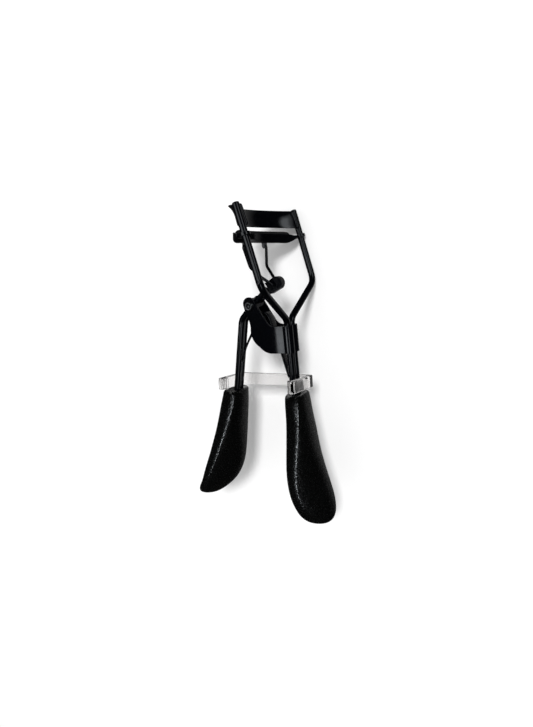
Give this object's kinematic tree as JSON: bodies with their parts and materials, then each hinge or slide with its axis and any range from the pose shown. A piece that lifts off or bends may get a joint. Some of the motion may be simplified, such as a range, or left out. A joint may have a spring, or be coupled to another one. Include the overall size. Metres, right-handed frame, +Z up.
{
  "type": "eyelash curler",
  "caption": "Hand-held lash curler: wire frame with a fixed curved jaw, sliding padded jaw, squeeze lever, leaf spring and a clear retaining clip.",
  "frame": {"origin": "centre of the base of the bounding box, with the tool lying on its side", "axes": "+X along the tool from the handles to the jaws, +Y from the frame handle to the lever handle, +Z up, across the width of the jaws, along the hinge pins"},
  "size_m": [0.101, 0.0532, 0.0359],
  "materials": {
    "black_lacquer": "gloss",
    "black_sheet": "gloss",
    "rivet_black": "gloss",
    "spring_steel": "satin",
    "pad_rubber": "matt",
    "grip_plastic": "fine grain, satin",
    "clear_plastic": "clear"
  },
  "bodies": {
    "frame": {"frame_rod_near": "black_lacquer", "frame_rod_far": "black_lacquer", "upper_jaw": "black_sheet", "jaw_weld_near": "black_lacquer", "jaw_weld_far": "black_lacquer", "hinge_bracket": "black_sheet", "pivot_rivet": "rivet_black", "return_spring": "spring_steel", "frame_grip": "grip_plastic"},
    "lever": {"lever_rod_near": "black_lacquer", "lever_rod_far": "black_lacquer", "connector_clip": "black_sheet", "lever_grip": "grip_plastic"},
    "lower_jaw": {"lower_jaw": "black_sheet", "jaw_guide_near": "black_sheet", "jaw_guide_far": "black_sheet", "yoke_lug_near": "black_sheet", "yoke_lug_far": "black_sheet", "lash_pad": "pad_rubber"},
    "yoke": {"yoke": "black_lacquer"},
    "retainer_clip": {"retainer_clip": "clear_plastic"}
  },
  "joints": [
    {"name": "lever_pivot", "type": "hinge", "parent": "frame", "child": "lever", "pos_m": [0.02143, -0.00438, 0.01795], "axis": [0, 0, 1], "range_deg": [0, 5.79], "stiffness_Nm_per_rad": 0.6, "springref_deg": -6.88, "deforming": ["return_spring"]},
    {"name": "jaw_slide", "type": "slide", "parent": "frame", "child": "lower_jaw", "axis": [0.9748, 0.2232, 0], "range_m": [0, 0.00102]},
    {"name": "yoke_swing", "type": "hinge", "parent": "lower_jaw", "child": "yoke", "pos_m": [0.03913, -0.00703, 0.01795], "axis": [0, 0, 1], "range_deg": [-1.85, 0]},
    {"name": "retainer_slide", "type": "slide", "parent": "lever", "child": "retainer_clip", "axis": [0.9761, -0.2174, 0], "range_m": [0, 0.005]}
  ],
  "couplings": [
    {"joint": "jaw_slide", "follows": "lever_pivot", "m_per_rad": 0.010125},
    {"joint": "yoke_swing", "follows": "lever_pivot", "ratio": -0.31883}
  ]
}
